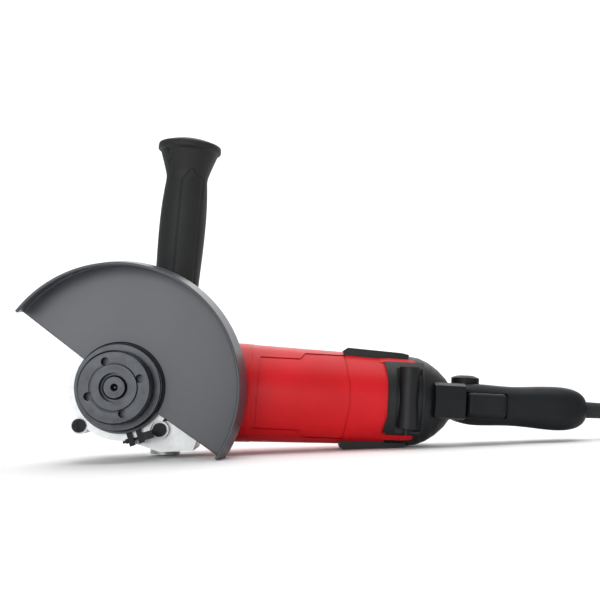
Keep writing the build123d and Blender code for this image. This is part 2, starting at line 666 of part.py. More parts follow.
def panel_block(inset):
    """The panel's outline, drawn in by an inset and run through the wheel side of the housing."""
    front, jog, rear = 92.0 + inset, 123.0, 154.0 - inset
    high, low = 26.0 - inset, -24.0 + inset
    outline = [
        (front, high), (jog - 3 + 0.4 * inset, high), (jog + 0.4 * inset, high + 4), (rear - 3, high + 4),
        (rear + 1.5, 8), (rear + 1.5, -6), (rear - 2, low - 4.7), (jog + 0.4 * inset, low - 4.7),
        (jog - 3 + 0.4 * inset, low), (front - 2, low),
    ]
    face = make_face(Polyline(*[(x, -41, z) for x, z in outline], close=True))
    return extrude(face, amount=41, dir=(0, 1, 0))


def make_stator_core():
    """The laminated stator: a ring with two pole pieces above and below the armature."""
    x0, x1 = STATOR_FRONT, STATOR_FRONT + STATOR_LENGTH
    core = cyl_x(STATOR_R, x0, x1) - cyl_x(POLE_ROOT_R, x0 - 1, x1 + 1)
    for middle in (90, 270):
        core += sector_x(STATOR_BORE, POLE_ROOT_R + 0.5, x0, x1, middle - POLE_HALF, middle + POLE_HALF)
    return single(core)


def make_field_coil(middle):
    """A field coil: a saddle of wire round one pole, with its ends standing clear of the core."""
    x0, x1 = STATOR_FRONT - 7, STATOR_FRONT + STATOR_LENGTH + 7
    coil = sector_x(STATOR_BORE + 1, POLE_ROOT_R - 0.2, x0, x1, middle - 64, middle + 64)
    coil -= sector_x(
        STATOR_BORE - 1, POLE_ROOT_R + 3, STATOR_FRONT - 0.3, STATOR_FRONT + STATOR_LENGTH + 0.3,
        middle - POLE_HALF - 1, middle + POLE_HALF + 1)
    return single(coil)


def make_armature_shaft():
    """The motor shaft, stepped for the pinion, the bearings, the fan and the core."""
    front = FRONT_BEARING[3] + FRONT_BEARING[2]
    rear = REAR_BEARING[3]
    shaft = cyl_x(SHAFT_TIP_R, 20.5, PINION_END) + cyl_x(SHAFT_R, PINION_END, front + 2)
    shaft += cyl_x(SHAFT_R + 0.8, front + 2, rear - 2)
    shaft += cyl_x(REAR_BEARING[0] + 0.6, rear - 2, rear)
    shaft += cyl_x(REAR_BEARING[0], rear, rear + REAR_BEARING[2] + 1)
    return single(shaft)


def make_armature_core():
    """The slotted lamination stack on the shaft."""
    x0, x1 = STATOR_FRONT, STATOR_FRONT + STATOR_LENGTH
    core = cyl_x(CORE_R, x0, x1) - cyl_x(SHAFT_R + 0.8, x0 - 1, x1 + 1)
    slot = block(x0 - 1, x1 + 1, -0.9, 0.9, CORE_R - 3.5, CORE_R + 1)
    return single(core - [Rot(i * 360 / SLOTS, 0, 0) * slot for i in range(SLOTS)])


def make_armature_winding():
    """The two wound ends of the armature, joined by the wires in the slots."""
    x0, x1 = STATOR_FRONT, STATOR_FRONT + STATOR_LENGTH
    bore = SHAFT_R + 0.8
    rear_end = [(x1, bore), (x1, CORE_R - 1.2), (x1 + 6, CORE_R - 3), (x1 + 10, 12), (x1 + 10, bore)]
    front_end = [(x0 - 8, bore), (x0 - 8, 14), (x0 - 4, CORE_R - 2), (x0, CORE_R - 1.2), (x0, bore)]
    winding = lathe_x(rear_end) + lathe_x(front_end)
    wires = [
        Rot(i * 360 / SLOTS, 0, 0) * block(x0 - 0.5, x1 + 0.5, -0.8, 0.8, CORE_R - 3.4, CORE_R - 1.4)
        for i in range(SLOTS)
    ]
    return single(winding + wires)


def make_commutator():
    """The commutator: a copper drum with fine slits between its bars."""
    x0, x1 = COMMUTATOR_FRONT, COMMUTATOR_FRONT + COMMUTATOR_LENGTH
    drum = cyl_x(COMMUTATOR_R, x0, x1) + cyl_x(COMMUTATOR_R + 1.6, x0, x0 + 2)
    drum -= cyl_x(SHAFT_R + 0.8, x0 - 1, x1 + 1)
    slits = [
        Rot(i * 360 / 28, 0, 0) * block(x0 + 2.5, x1 + 1, -0.25, 0.25, COMMUTATOR_R - 1, COMMUTATOR_R + 1)
        for i in range(28)
    ]
    return single(drum - slits)


def make_fan():
    """The cooling fan: a disc with radial blades between the front bearing and the stator."""
    x0 = FAN_X
    fan = cyl_x(FAN_R, x0, x0 + 1.6) + cyl_x(10.0, x0, x0 + 11)
    blades = [Rot(i * 24, 0, 0) * block(x0 + 1, x0 + 10, -0.7, 0.7, 9.0, FAN_R - 0.3) for i in range(15)]
    fan = fan + blades
    fan -= cyl_x(SHAFT_R + 0.8, x0 - 1, x0 + 12)
    return single(fan)


def make_brush_holder(sign):
    """A brass brush box with a plastic block that reaches the housing wall."""
    x0, x1 = BRUSH_X
    holder = block(x0 - 2, x1 + 2, -6, 6, 14.0, STATOR_R + 1) & cyl_x(STATOR_R, x0 - 4, x1 + 4)
    holder -= block(x0, x1, -BRUSH_HALF, BRUSH_HALF, 10, STATOR_R - 3)
    return single(Rot(0 if sign > 0 else 180, 0, 0) * holder)


def make_carbon_brush(sign):
    """A carbon brush, resting on the commutator with its curved end."""
    x0, x1 = BRUSH_X
    brush = block(x0, x1, -BRUSH_HALF, BRUSH_HALF, 10, 24.0) - cyl_x(COMMUTATOR_R + BACK, x0 - 1, x1 + 1)
    return single(Rot(0 if sign > 0 else 180, 0, 0) * brush)


# Rear cover ----------------------------------------------------------------------------------------------

def dome_solid(grow):
    """The outside of the rear cover as a solid of revolution, grown outwards by a distance."""
    points = [(HOUSING_END, 0), (HOUSING_END, 32.4 + grow)]
    points += [(x + grow * 0.5, r + grow) for x, r in DOME]
    points += [(DOME[-1][0] + grow, 0)]
    return lathe_x(points)


def make_rear_cover(sign):
    """Half of the rear cover: a dome over the motor's end, a bracket and a pillar on the wheel side."""
    hollow = lathe_x([
        (HOUSING_END - 1, 0), (HOUSING_END - 1, 29.4), (193, 29.4), (202, 27.8), (209, 25.0), (214, 21.8),
        (SWIVEL_WALL, 17.0), (SWIVEL_WALL, 0),
    ])
    cover = dome_solid(0) + make_bracket() - pillar_recess() + make_pillar()
    cover -= hollow + cyl_x(SWIVEL_R, SWIVEL_WALL - 1, DOME[-1][0] + 2)
    for turn in (-1, 1):
        cover -= tongue_bar(turn, FINGER_HALF + 0.1) & finger_skin(3.0)
    if sign > 0:
        half = block(HOUSING_END - 10, 240, -60, 60, SEAM_Z, 60)
    else:
        half = block(HOUSING_END - 10, 240, -60, 60, -60, SEAM_Z)
    cover = cover & half
    cover -= make_cover_screw(sign)
    cover -= make_pad_blank(1) + make_pad_blank(-1)
    return single(cover)


def make_bracket():
    """The raised plate on the wheel side, its front edge a long hollow arc over the housing."""
    plate = cyl_x(BRACKET_R, 176, 206) - cyl_x(housing_radius(176) + 0.1, 175, 207)
    plate = plate & block(176, 206, -40, -10, BRACKET_LOW, BRACKET_HIGH)
    middle = (BRACKET_LOW + BRACKET_HIGH) / 2
    return plate - cyl_y(BRACKET_ARC_R, -45, 0, BRACKET_EDGE - BRACKET_ARC_R, middle)


def pillar_recess():
    """The pocket round the pillar."""
    pocket = block(PILLAR_X - 9, PILLAR_X + 9.2, -45, -24.5, PILLAR_LOW - 3.6, PILLAR_HIGH + 1.2)
    return pocket - cyl_x(30.2, 180, 215)


def make_pillar():
    """The upright half-round pillar, and the thin rod below it."""
    pillar = cyl_z(PILLAR_R, PILLAR_LOW, PILLAR_HIGH, PILLAR_X, PILLAR_Y)
    pillar += block(PILLAR_X - 5, PILLAR_X + 5, PILLAR_Y, -14, PILLAR_LOW, PILLAR_HIGH)
    pillar += cyl_z(1.7, PILLAR_LOW - 4.5, PILLAR_LOW, PILLAR_X - 1, -27.5)
    return pillar & block(180, 215, -60, 0, -60, 60)


def make_cover_screw(sign):
    """A screw that fastens the cover to the motor's end wall, let into the dome beside the pillar."""
    x, z = 208.5, SEAM_Z + sign * 13.0
    return cyl_y(1.9, -28.0, -20.0, x, z) & dome_solid(-0.4)


def make_pad_blank(sign):
    """A rubber pad: the lower one lies flat on the floor plane, the upper one follows the taper."""
    front, rear = (pad_face(PAD_FRONT), pad_face(PAD_REAR)) if sign < 0 else (35.6, 33.3)
    slope = (rear - front) / (PAD_REAR - PAD_FRONT)
    outline = [
        (PAD_FRONT, 0, 20), (PAD_FRONT, 0, front - 2.2), (PAD_FRONT + 3, 0, front + 3 * slope),
        (PAD_REAR - 5, 0, rear - 5 * slope), (PAD_REAR, 0, rear - 0.8), (PAD_REAR, 0, 20),
    ]
    blank = extrude(make_face(Polyline(*outline, close=True)), amount=PAD_HALF, both=True, dir=(0, 1, 0))
    blank -= lathe_x([
        (PAD_FRONT - 1, 0), (PAD_FRONT - 1, housing_radius(PAD_FRONT - 1) + PAD_EASE),
        (HOUSING_END, housing_radius(HOUSING_END) + PAD_EASE), (PAD_REAR + 1, 31.2), (PAD_REAR + 1, 0),
    ])
    return blank if sign > 0 else Rot(180, 0, 0) * blank


def pad_face(x):
    """Distance from the motor axis down to the floor plane, measured across the tilted tool at x."""
    tilt = math.radians(REST_TILT)
    return (FLOOR_DROP - x * math.sin(tilt)) / math.cos(tilt)


# Rear handle ---------------------------------------------------------------------------------------------

def handle_body(shrink, x_low, x_high):
    """The smooth outside of the rear handle, or the same shape drawn in by a wall thickness."""
    faces = []
    for x, depth, height, corner in HANDLE_SECTIONS:
        rectangle = RectangleRounded(2 * (depth - shrink), 2 * (height - shrink), max(corner - shrink, 1.0))
        faces.append(Plane.YZ.offset(x) * rectangle)
    return loft(faces) & block(x_low, x_high, -30, 30, -30, 30)


def make_handle_shells():
    """The two halves of the rear handle, split on the parting plane."""
    body = handle_body(0, 230, 330) - handle_body(COVER_WALL, 247.0, 314.0)
    body += make_nose() - handle_body(COVER_WALL, 247.0, 314.0)
    body -= dome_solid(SKIN_GAP + 0.1)
    body += cyl_x(SWIVEL_R - 0.1, COLLAR_FRONT, 233) + cyl_x(13.0, COLLAR_FRONT, SWIVEL_WALL - 0.8)
    for x, y in SCREW_POSTS:
        body += cyl_z(3.6, -11, 11, x, y)
    body -= cyl_x(3.0, COLLAR_FRONT - 1, 248, 0, -4.5)
    side = TRIGGER_HALF + SKIN_GAP
    body -= block(TRIGGER_FRONT - TRIGGER_SWING, TRIGGER_REAR + 3 * SKIN_GAP, -30, -4, -side, side)
    body -= cyl_z(PIN_R + BACK, -11.5, 11.5, PIN_X, PIN_Y)
    body -= cyl_z(BUTTON_R + 0.5, BUTTON_POCKET, 30, BUTTON_X)
    body -= cyl_z(BUTTON_STEM_R + 0.1, BUTTON_STEM_LOW - BUTTON_TRAVEL - 0.6, 30, BUTTON_X)
    body -= make_strain_relief()
    for i in range(len(SCREW_POSTS)):
        body -= make_handle_screw(i)
    upper = body & block(200, 340, -60, 60, SEAM_Z, 60)
    lower = body & block(200, 340, -60, 60, -60, SEAM_Z)
    return single(upper), single(lower)


def make_nose():
    """The faceted block at the handle's front: two facets meet in a ridge on the parting plane."""
    outline = [
        (-8, -11), (-22, -11), (-28.6, -9.6), (-30.6, SEAM_Z), (-28.6, 12.2), (-22, 14.2), (-8, 13.0),
    ]
    face = make_face(Polyline(*[(NOSE_FRONT, y, z) for y, z in outline], close=True))
    nose = extrude(face, amount=NOSE_REAR - NOSE_FRONT, dir=(1, 0, 0))
    corner = [(NOSE_FRONT, -33, 0), (NOSE_FRONT + 1, -33, 0), (NOSE_FRONT, -27, 0)]
    bevel = make_face(Polyline(*corner, close=True))
    return nose - extrude(bevel, amount=30, both=True, dir=(0, 0, 1))


def make_handle_screw(index):
    """A screw up through the lower handle shell into the upper one, its head let in."""
    x, y = SCREW_POSTS[index]
    return (cyl_z(1.5, -9.0, 8.0, x, y) + cyl_z(2.7, -20.0, -9.0, x, y)) & handle_body(0.6, 230, 330)


def make_release_button():
    """The mushroom button on the handle's neck that frees the handle to turn."""
    edge = BUTTON_R - 0.5
    sides = Polyline(
        (0, 0, BUTTON_STEM_LOW), (BUTTON_STEM_R, 0, BUTTON_STEM_LOW), (BUTTON_STEM_R, 0, BUTTON_CAP_LOW),
        (edge - 0.8, 0, BUTTON_CAP_LOW), (edge, 0, BUTTON_CAP_LOW + 0.8), (edge, 0, 18.4))
    crown = ThreePointArc((edge, 0, 18.4), (6.6, 0, 19.8), (2.0, 0, 20.3))
    top = Polyline((2.0, 0, 20.3), (0, 0, 20.3), (0, 0, BUTTON_STEM_LOW))
    button = Pos(BUTTON_X, 0, 0) * revolve(make_face(sides + crown + top), Axis.Z)
    return single(button - Pos(0, 0, BUTTON_TRAVEL) * dome_solid(0.5))


def make_trigger():
    """The paddle trigger on the wheel side, hinged on a pin at its rear."""
    paddle = block(TRIGGER_FRONT, TRIGGER_REAR, -24.5, -11.5, -TRIGGER_HALF, TRIGGER_HALF)
    paddle = fillet(paddle.edges().filter_by(Axis.X).group_by(Axis.Y)[0], 3.0)
    paddle = fillet(paddle.edges().filter_by(Axis.Z).group_by(Axis.Y)[0], 3.5)
    paddle -= block(TRIGGER_FRONT + 3, PIN_X - 5, -21.5, -11, -TRIGGER_HALF + 2, TRIGGER_HALF - 2)
    return single(paddle + cyl_z(PIN_R, -11.2, 11.2, PIN_X, PIN_Y))


def make_switch_module():
    """The switch inside the handle."""
    return block(250.0, 298.0, -3.5, 10.0, -8.0, 8.0) + block(253, 259, -5.0, -3.0, -3, 3)


def make_strain_relief():
    """The tapering rubber strain relief, with a flange caught in the handle."""
    return lathe_x([
        (RELIEF_START - 2, 0), (RELIEF_START - 2, 7.4), (RELIEF_START, 7.4), (RELIEF_START, CORD_R + 1.9),
        (RELIEF_END, CORD_R + 1.3), (RELIEF_END, 0),
    ])


# Cord ----------------------------------------------------------------------------------------------------

def make_cord_tube():
    """The free stretch of the cord, as straight runs joined by the largest arcs they allow."""
    points = [Vector(*p) for p in CORD_ROUTE]
    radii = []
    for before, here, after in zip(points, points[1:], points[2:]):
        run_in, run_out = here - before, after - here
        turn = math.radians(run_in.get_angle(run_out))
        radii.append(0.45 * min(run_in.length, run_out.length) / math.tan(turn / 2))
    print("cord radii", [round(r) for r in radii])
    path = FilletPolyline(*CORD_ROUTE, radius=radii)
    start = Plane(origin=points[0], z_dir=points[1] - points[0])
    tube = sweep(start * Circle(CORD_R), path=path)
    section = math.pi * CORD_R ** 2
    print("cord tube volume over section times length", round(tube.volume / (section * path.length), 4))
    return tube - coil_ring()


def coil_ring():
    """The outer shape of the put-away coil."""
    x, y = COIL_CENTRE
    ring = Cylinder(COIL_MEAN_R + COIL_WIDTH / 2, COIL_HEIGHT)
    ring -= Cylinder(COIL_MEAN_R - COIL_WIDTH / 2, COIL_HEIGHT + 2)
    return Pos(x, y, COIL_HEIGHT / 2) * ring


def plug_frame():
    """The frame of the plug beside the coil: its X points out along the pins."""
    x, y = COIL_CENTRE
    return Pos(x - 18.0, y - COIL_TURN_R, PLUG_R) * Rot(0, 0, 180)


def make_plug_body():
    """The moulded plug: a tail that takes the cord and a round-shouldered grip."""
    body = revolve(make_face(Polyline(
        (0, 0, 0), (0, 0, 5.0), (14, 0, 6.0), (20, 0, 10.5), (30, 0, PLUG_R), (PLUG_LENGTH, 0, PLUG_R),
        (PLUG_LENGTH, 0, 0), close=True)), Axis.X)
    return plug_frame() * body - coil_ring()


def make_plug_pin(side):
    """A round contact pin of the plug."""
    return plug_frame() * cyl_x(2.4, PLUG_LENGTH, PLUG_LENGTH + 19, side * 6.5)


# Assembly ------------------------------------------------------------------------------------------------

def build_tool():
    """Every solid of the tool in the tool's own frame, by node name."""
    nodes = {
        "gear_housing": make_gear_housing(),
        "bearing_flange": make_bearing_flange(),
        "spindle": make_spindle(),
        "crown_gear": make_crown_gear(),
        "inner_flange": make_inner_flange(),
        "locking_nut": make_locking_nut(),
        "spindle_lock_button": make_lock_button(),
        "guard_shell": make_guard_shell(),
        "guard_collar": make_guard_collar(),
        "guard_clamp_screw": make_clamp_screw(),
        "guard_clamp_lever": make_clamp_lever(),
        "side_handle_stud": make_side_handle_stud(),
        "side_handle_grip": make_side_handle_grip(),
        "motor_housing": make_motor_housing(),
        "stator_core": make_stator_core(),
        "field_coil_upper": make_field_coil(90),
        "field_coil_lower": make_field_coil(270),
        "armature_shaft": make_armature_shaft(),
        "pinion": make_pinion(),
        "armature_core": make_armature_core(),
        "armature_winding": make_armature_winding(),
        "commutator": make_commutator(),
        "fan": make_fan(),
        "trigger": make_trigger(),
        "release_button": make_release_button(),
        "switch_module": make_switch_module(),
        "strain_relief": make_strain_relief(),
    }
    for name, sizes, lathe, turn in (
        ("spindle_bearing", SPINDLE_BEARING, lathe_y, around_y),
        ("nose_bearing", NOSE_BEARING, lathe_y, around_y),
        ("front_bearing", FRONT_BEARING, lathe_x, around_x),
        ("rear_bearing", REAR_BEARING, lathe_x, around_x),
    ):
        nodes[name + "_outer"], nodes[name + "_inner"] = bearing(sizes, lathe, turn)
    for i in range(4):
        nodes[f"flange_screw_{i + 1}"] = make_flange_screw(i)
    for label, sign in (("upper", 1), ("lower", -1)):
        nodes["brush_holder_" + label] = make_brush_holder(sign)
        nodes["carbon_brush_" + label] = make_carbon_brush(sign)
        nodes["rear_cover_" + label] = make_rear_cover(sign)
        nodes["rear_cover_screw_" + label] = make_cover_screw(sign)
        nodes["pad_" + label] = single(make_pad_blank(sign))
    nodes["handle_shell_upper"], nodes["handle_shell_lower"] = make_handle_shells()
    for i in range(2):
        nodes[f"handle_screw_{i + 1}"] = make_handle_screw(i)
    return nodes


def build_cord():
    """The cord's solids on the floor frame, by node name."""
    return {
        "cord_tube": make_cord_tube(),
        "cord_coil": coil_ring(),
        "plug_body": make_plug_body(),
        "plug_pin_1": make_plug_pin(1),
        "plug_pin_2": make_plug_pin(-1),
    }


def set_down():
    """The tool at rest: tilted about Y, with the floor at Z = 0 below the spindle axis."""
    return Pos(0, 0, FLOOR_DROP) * Rot(0, REST_TILT, 0)


def centre_of(shapes):
    """The shift that puts the middle of the tool's own box over the origin, standing on Z = 0."""
    boxes = [shape.bounding_box() for shape in shapes]
    low = [min(tuple(b.min)[k] for b in boxes) for k in range(3)]
    high = [max(tuple(b.max)[k] for b in boxes) for k in range(3)]
    return -(low[0] + high[0]) / 2, -(low[1] + high[1]) / 2, -low[2]


def build_all():
    """Every node in the shared frame, and the shift from the floor frame to it."""
    laid = {name: set_down() * shape for name, shape in build_tool().items()}
    shift = centre_of(laid.values())
    everything = {**laid, **build_cord()}
    return {name: Pos(*shift) * shape for name, shape in everything.items()}, shift


if __name__ == "__main__":
    os.makedirs("parts", exist_ok=True)
    finished, moved = build_all()
    print("shift", [round(v, 3) for v in moved])
    for node, shape in finished.items():
        export_step(shape, f"parts/{node}.step")
    print(len(finished), "nodes")
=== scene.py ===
# %% [markdown]
# # An angle grinder lying on its side
# The tool was drawn first as solids with real sizes, and those solids are the fixed frame of this scene.
# Here they are loaded, given the finishes that their real makers would give them, and joined by a few
# pieces that only the eye needs: the cord as a smooth curve, the moulded grip and the soft edges of the
# pressed guard.

# %% Load the frame and remember its box
import math

import bmesh
import bpy
import numpy as np
from mathutils import Matrix, Vector


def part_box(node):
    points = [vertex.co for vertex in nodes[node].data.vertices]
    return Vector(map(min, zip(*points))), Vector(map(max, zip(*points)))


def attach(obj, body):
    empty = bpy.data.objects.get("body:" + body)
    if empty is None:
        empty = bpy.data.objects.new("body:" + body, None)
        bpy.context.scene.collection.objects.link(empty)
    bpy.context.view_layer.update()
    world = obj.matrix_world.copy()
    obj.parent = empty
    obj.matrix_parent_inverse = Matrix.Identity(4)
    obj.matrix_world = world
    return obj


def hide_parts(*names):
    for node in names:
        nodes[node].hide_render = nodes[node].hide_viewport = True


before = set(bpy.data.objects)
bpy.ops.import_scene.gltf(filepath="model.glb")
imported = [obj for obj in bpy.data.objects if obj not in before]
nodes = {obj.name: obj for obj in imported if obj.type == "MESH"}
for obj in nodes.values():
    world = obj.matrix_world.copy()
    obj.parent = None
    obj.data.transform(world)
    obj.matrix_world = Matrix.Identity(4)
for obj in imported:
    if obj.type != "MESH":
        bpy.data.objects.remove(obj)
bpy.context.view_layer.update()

# %% [markdown]
# Everything in the scene is placed from two measured points: the spindle axis, which is the middle of the
# locking nut, and the floor, which is at zero. The tool lies tilted, its motor axis dipping to the rear.

# %% The tool's own frame
MM = 0.001
REST_TILT = math.radians(5.0)
FLOOR_DROP = 49.4 * MM
NUT_FRONT = 68.0 * MM

nut_low, nut_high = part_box("locking_nut")
SPINDLE_X = (nut_low.x + nut_high.x) / 2
SPINDLE_Y = nut_low.y + NUT_FRONT
FLOOR_FRAME = Vector((SPINDLE_X, SPINDLE_Y, 0.0))
TOOL = Matrix.Translation((SPINDLE_X, SPINDLE_Y, FLOOR_DROP)) @ Matrix.Rotation(REST_TILT, 4, "Y")
TOOL_ROTATION = np.array(TOOL.to_3x3())
TOOL_PLACE = np.array(TOOL.translation)
print("spindle axis", round(SPINDLE_X, 4), round(SPINDLE_Y, 4), round(FLOOR_DROP, 4))


def to_world(points_mm):
    """Points in the tool's own millimetres, turned by the rest tilt, in the shared frame in metres."""
    return np.asarray(points_mm, float) * MM @ TOOL_ROTATION.T + TOOL_PLACE


# %% [markdown]
# ## The camera
# A product shot like this is taken low, level with the spindle, with a long lens. The lens looks slightly
# up, so that the tool sits below the middle of the frame, and the camera leans a little to one side.

# %% The camera
LENS_MM = 58.2
CAMERA_BACK = 0.698
CAMERA_ACROSS = 0.1228
PITCH_UP = math.radians(4.75)
ROLL = math.radians(-2.1)

camera_data = bpy.data.cameras.new("camera")
camera_data.lens = LENS_MM
camera_data.sensor_width = 36.0
camera_data.clip_start = 0.01
camera = bpy.data.objects.new("camera", camera_data)
bpy.context.scene.collection.objects.link(camera)
camera.matrix_world = (
    Matrix.Translation((SPINDLE_X + CAMERA_ACROSS, SPINDLE_Y - CAMERA_BACK, FLOOR_DROP))
    @ Matrix.Rotation(math.pi / 2 + PITCH_UP, 4, "X")
    @ Matrix.Rotation(ROLL, 4, "Z")
)
bpy.context.scene.camera = camera
print("camera at", [round(v, 3) for v in camera.matrix_world.translation])

# %% [markdown]
# ## Colours and nodes
# Paint and plastic colours are usually picked from a swatch, so they are written here as the familiar
# sRGB hex codes. Cycles works with linear light, and one function turns the one into the other. Another
# small function adds a node, fills in its settings and joins its inputs, so that each finish reads as a
# short recipe.


# %% Colour and node helpers
def linear(hex_code):
    """An sRGB hex code as linear red, green, blue and alpha: the inverse of the sRGB transfer curve."""
    values = [int(hex_code[i : i + 2], 16) / 255 for i in (0, 2, 4)]
    return [v / 12.92 if v <= 0.04045 else ((v + 0.055) / 1.055) ** 2.4 for v in values] + [1.0]


def node(tree, kind, settings=None, links=None):
    """Adds a node; settings go to its attributes or, by socket name or number, to its inputs."""
    made = tree.nodes.new(kind)
    for key, value in (settings or {}).items():
        if isinstance(key, int):
            made.inputs[key].default_value = value
        elif hasattr(made, key):
            setattr(made, key, value)
        else:
            made.inputs[key].default_value = value
    for key, source in (links or {}).items():
        tree.links.new(source, made.inputs[key])
    return made


def finish_named(name, settings):
    """A new material with a Principled shader whose uniform values are set on its own sockets."""
    material = bpy.data.materials.new(name)
    material.use_nodes = True
    shader = material.node_tree.nodes["Principled BSDF"]
    for key, value in settings.items():
        shader.inputs[key].default_value = value
    material.diffuse_color = settings.get("Base Color", (0.5, 0.5, 0.5, 1.0))
    return material, material.node_tree, shader


def per_metre(size_mm):
    """The scale of a noise or wave whose features are size_mm apart, for coordinates in metres."""
    return 1.0 / (size_mm * MM)


def noise(tree, place, size_mm, detail):
    """A noise whose features are size_mm apart, fixed to the object."""
    settings = {"Scale": per_metre(size_mm), "Detail": detail}
    return node(tree, "ShaderNodeTexNoise", settings, {"Vector": place.outputs["Object"]})


def two_tone(tree, source, dark, light, low, high):
    """A ramp from one colour to another as the source goes from low to high."""
    ramp = node(tree, "ShaderNodeValToRGB", {}, {"Fac": source.outputs["Fac"]})
    for stop, position, colour in zip(ramp.color_ramp.elements, (low, high), (dark, light)):
        stop.position = position
        stop.color = linear(colour)
    return ramp


def spread(tree, source, low, high):
    """The source's 0 to 1 laid out between two values."""
    limits = {"To Min": low, "To Max": high}
    return node(tree, "ShaderNodeMapRange", limits, {"Value": source.outputs["Fac"]})


def join_finish(tree, shader, tint, rough, height, depth_mm):
    """Joins colour, roughness and a bump of the given depth to the shader."""
    bump = node(tree, "ShaderNodeBump", {"Distance": depth_mm * MM, "Strength": 1.0}, {"Height": height})
    tree.links.new(tint.outputs["Color"], shader.inputs["Base Color"])
    tree.links.new(rough.outputs["Result"], shader.inputs["Roughness"])
    tree.links.new(bump.outputs["Normal"], shader.inputs["Normal"])


# %% [markdown]
# ## Moulded plastics
# The motor housing is glass-filled nylon, injection moulded in a lightly grained tool. Fine grain breaks
# up the highlight, and a slow waviness from cooling makes the gloss swim. The black parts come from a
# coarser tool.


# %% Plastic finishes
def moulded(name, dark, light, rough_low, rough_high, grain_mm, grain_depth, specular=0.5):
    """Grained plastic: two close colours mixed by a broad noise, roughness by another, grain as bump."""
    settings = {"Base Color": linear(light), "Specular IOR Level": specular}
    material, tree, shader = finish_named(name, settings)
    place = node(tree, "ShaderNodeTexCoord")
    tint = two_tone(tree, noise(tree, place, 38.0, 4.0), dark, light, 0.35, 0.65)
    rough = spread(tree, noise(tree, place, 9.0, 5.0), rough_low, rough_high)
    join_finish(tree, shader, tint, rough, noise(tree, place, grain_mm, 2.0).outputs["Fac"], grain_depth)
    return material


RED_NYLON = moulded("red_moulded_nylon", "B80B14", "C6111B", 0.38, 0.48, 0.7, 0.03, 0.22)
BLACK_NYLON = moulded("black_moulded_nylon", "0F1012", "15171A", 0.42, 0.56, 0.8, 0.06, 0.3)
GREY_NYLON = moulded("charcoal_moulded_nylon", "0E1012", "141619", 0.44, 0.58, 0.8, 0.06, 0.2)
SOFT_RUBBER = moulded("black_moulded_rubber", "101112", "16181A", 0.55, 0.68, 1.1, 0.08, 0.4)
CORD_RUBBER = moulded("black_cord_rubber", "0C0D0E", "121315", 0.5, 0.62, 1.4, 0.05, 0.4)
CARBON = moulded("pressed_carbon", "101010", "1A1A1A", 0.6, 0.75, 0.5, 0.03, 0.3)

# %% [markdown]
# ## Metals
# Turned steel shows fine rings about the spindle; here a wave in rings runs about that axis. Blackened
# steel is the same under a thin oxide, darker and softer. Cast aluminium is grainy and pale. The guard is
# pressed steel under satin black paint, with the faint orange peel that spray leaves.


# %% Metal finishes
WAVE_UNITS = 20  # a wave of scale 1 repeats about twenty times in one unit of its coordinates


def metal(name, dark, light, rough_low, rough_high, grain_mm, grain_depth, ring_mm=0.0):
    """Bare or blackened metal: mottled colour and roughness, grain bump and, where it was turned, rings."""
    material, tree, shader = finish_named(name, {"Base Color": linear(light), "Metallic": 1.0})
    place = node(tree, "ShaderNodeTexCoord")
    mottle = noise(tree, place, 6.0, 6.0)
    tint = two_tone(tree, mottle, dark, light, 0.3, 0.7)
    rough = spread(tree, mottle, rough_low, rough_high)
    height = noise(tree, place, grain_mm, 3.0).outputs["Fac"]
    if ring_mm:
        to_spindle = {"Location": (-SPINDLE_X, 0.0, -FLOOR_DROP)}
        centred = node(tree, "ShaderNodeMapping", to_spindle, {"Vector": place.outputs["Object"]})
        ringed = {
            "wave_type": "RINGS", "rings_direction": "Y", "Scale": per_metre(ring_mm) / WAVE_UNITS,
            "Distortion": 0.6,
        }
        rings = node(tree, "ShaderNodeTexWave", ringed, {"Vector": centred.outputs["Vector"]})
        both = node(tree, "ShaderNodeMath", {"operation": "ADD"}, {0: height, 1: rings.outputs["Fac"]})
        height = both.outputs["Value"]
    join_finish(tree, shader, tint, rough, height, grain_depth)
    return material


def painted(name, dark, light):
    """Satin spray paint on steel: a dielectric coat with orange peel a few millimetres across."""
    material, tree, shader = finish_named(name, {"Base Color": linear(light), "Specular IOR Level": 0.6})
    place = node(tree, "ShaderNodeTexCoord")
    broad = noise(tree, place, 30.0, 6.0)
    tint = two_tone(tree, broad, dark, light, 0.3, 0.7)
    rough = spread(tree, broad, 0.34, 0.44)
    join_finish(tree, shader, tint, rough, noise(tree, place, 1.6, 1.0).outputs["Fac"], 0.03)
    return material


BLACKENED_STEEL = metal("blackened_turned_steel", "38393D", "46484B", 0.3, 0.42, 0.5, 0.03, 0.9)
BRIGHT_STEEL = metal("turned_steel", "9A9A98", "B5B5B2", 0.22, 0.36, 0.4, 0.01)
BLACK_SCREW_STEEL = metal("black_oxide_steel", "1C1C1E", "2A2B2D", 0.35, 0.5, 0.6, 0.02)
CAST_ALUMINIUM = metal("cast_aluminium", "A9ABAC", "C2C4C5", 0.38, 0.52, 0.9, 0.06)
LAMINATIONS = metal("lamination_steel", "4A4B4E", "606165", 0.4, 0.55, 0.35, 0.03)
COPPER = metal("enamelled_copper", "8A4A24", "B5683A", 0.25, 0.4, 0.6, 0.04)
BRASS = metal("plain_brass", "A88846", "C9A95C", 0.25, 0.38, 0.6, 0.01)
GUARD_PAINT = painted("satin_black_paint", "34373D", "3D4047")

# %% [markdown]
# ## Which finish goes on which solid
# Every solid is given the finish of the real piece. The names say what each piece is, so a short table
# does it.

